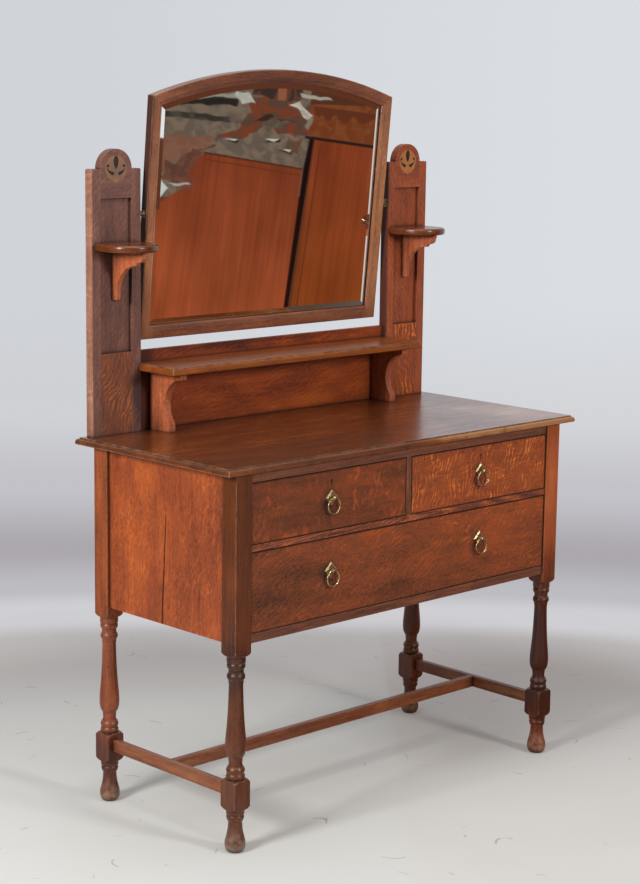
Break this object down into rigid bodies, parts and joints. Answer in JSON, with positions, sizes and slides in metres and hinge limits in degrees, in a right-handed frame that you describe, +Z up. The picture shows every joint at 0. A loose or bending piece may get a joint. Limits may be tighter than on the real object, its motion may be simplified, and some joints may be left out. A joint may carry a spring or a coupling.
{
  "type": "dressing table",
  "caption": "Stained oak dressing table with arched swing mirror between inlaid uprights, gallery shelf, drawers with ring pulls and turned legs joined by a low stretcher.",
  "frame": {"origin": "on the floor, under the middle of the bounding box", "axes": "+X to the right as seen from the front, the front with the drawers faces -Y, +Z up"},
  "size_m": [1.002, 0.4774, 1.4915],
  "materials": {
    "oak_top": "stained oak, waxed, rubbed paler along the front edge",
    "oak_fronts": "quarter-sawn oak, stained red-brown, satin varnish",
    "oak_sides": "oak boards, stained orange-brown, satin varnish",
    "oak_rails": "stained oak, satin varnish",
    "oak_legs": "turned and planed stained oak, satin varnish",
    "oak_gallery": "stained oak, satin varnish",
    "oak_mirror_frame": "moulded stained oak, satin varnish",
    "oak_inner": "unfinished oak, aged pale brown",
    "back_boards": "plain stained boards, dull",
    "inlay_light": "pale wood inlay under varnish",
    "inlay_dark": "black-stained wood inlay under varnish",
    "mirror": "silvered plate glass with a polished bevel",
    "brass": "cast and drawn brass, tarnished, rubbed bright on the edges",
    "lock_brass": "dull sheet brass"
  },
  "bodies": {
    "carcass": {"leg_front_left": "oak_legs", "leg_front_right": "oak_legs", "leg_back_left": "oak_legs", "leg_back_right": "oak_legs", "side_stretchers": "oak_legs", "centre_stretcher": "oak_legs", "side_panel_left": "oak_sides", "side_panel_right": "oak_sides", "carcass_back": "back_boards", "top_rail": "oak_rails", "middle_rail": "oak_rails", "bottom_rail": "oak_rails", "drawer_divider": "oak_rails", "runners_upper": "oak_inner", "runners_lower": "oak_inner", "top_board": "oak_top", "upright_left_stiles": "oak_gallery", "upright_left_crest": "oak_gallery", "upright_left_panel": "oak_gallery", "upright_left_foot": "oak_gallery", "upright_right_stiles": "oak_gallery", "upright_right_crest": "oak_gallery", "upright_right_panel": "oak_gallery", "upright_right_foot": "oak_gallery", "inlay_ground": "inlay_light", "inlay_leaves": "inlay_dark", "candle_shelf_left": "oak_gallery", "candle_shelf_right": "oak_gallery", "candle_brackets": "oak_gallery", "gallery_back": "oak_gallery", "gallery_shelf": "oak_gallery", "gallery_supports": "oak_gallery", "swivel_pins": "brass"},
    "drawer_left": {"drawer_left_front": "oak_fronts", "drawer_left_sides": "oak_inner", "drawer_left_back": "oak_inner", "drawer_left_bottom": "oak_inner", "lock_left": "lock_brass", "pull_plate_left": "brass"},
    "drawer_right": {"drawer_right_front": "oak_fronts", "drawer_right_sides": "oak_inner", "drawer_right_back": "oak_inner", "drawer_right_bottom": "oak_inner", "lock_right": "lock_brass", "pull_plate_right": "brass"},
    "drawer_long": {"drawer_long_front": "oak_fronts", "drawer_long_sides": "oak_inner", "drawer_long_back": "oak_inner", "drawer_long_bottom": "oak_inner", "pull_plates_long": "brass"},
    "mirror": {"mirror_stiles": "oak_mirror_frame", "mirror_foot_rail": "oak_mirror_frame", "mirror_arch": "oak_mirror_frame", "mirror_glass": "mirror", "mirror_backboard": "back_boards", "swivel_sockets": "brass"},
    "ring_left": {"ring_left": "brass"},
    "ring_right": {"ring_right": "brass"},
    "ring_long_left": {"ring_long_left": "brass"},
    "ring_long_right": {"ring_long_right": "brass"}
  },
  "joints": [
    {"name": "drawer_left_slide", "type": "slide", "parent": "carcass", "child": "drawer_left", "axis": [0, -1, 0], "range_m": [0, 0.3]},
    {"name": "drawer_right_slide", "type": "slide", "parent": "carcass", "child": "drawer_right", "axis": [0, -1, 0], "range_m": [0, 0.3]},
    {"name": "drawer_long_slide", "type": "slide", "parent": "carcass", "child": "drawer_long", "axis": [0, -1, 0], "range_m": [0, 0.3]},
    {"name": "ring_left_swing", "type": "hinge", "parent": "drawer_left", "child": "ring_left", "pos_m": [-0.21775, -0.2277, 0.67], "axis": [1, 0, 0], "range_deg": [-165, 10]},
    {"name": "ring_right_swing", "type": "hinge", "parent": "drawer_right", "child": "ring_right", "pos_m": [0.21775, -0.2277, 0.67], "axis": [1, 0, 0], "range_deg": [-165, 10]},
    {"name": "ring_long_left_swing", "type": "hinge", "parent": "drawer_long", "child": "ring_long_left", "pos_m": [-0.21775, -0.2277, 0.525], "axis": [1, 0, 0], "range_deg": [-165, 10]},
    {"name": "ring_long_right_swing", "type": "hinge", "parent": "drawer_long", "child": "ring_long_right", "pos_m": [0.21775, -0.2277, 0.525], "axis": [1, 0, 0], "range_deg": [-165, 10]},
    {"name": "mirror_tilt", "type": "hinge", "parent": "carcass", "child": "mirror", "pos_m": [0, 0.2059, 1.2015], "axis": [1, 0, 0], "range_deg": [-70, 65]}
  ]
}
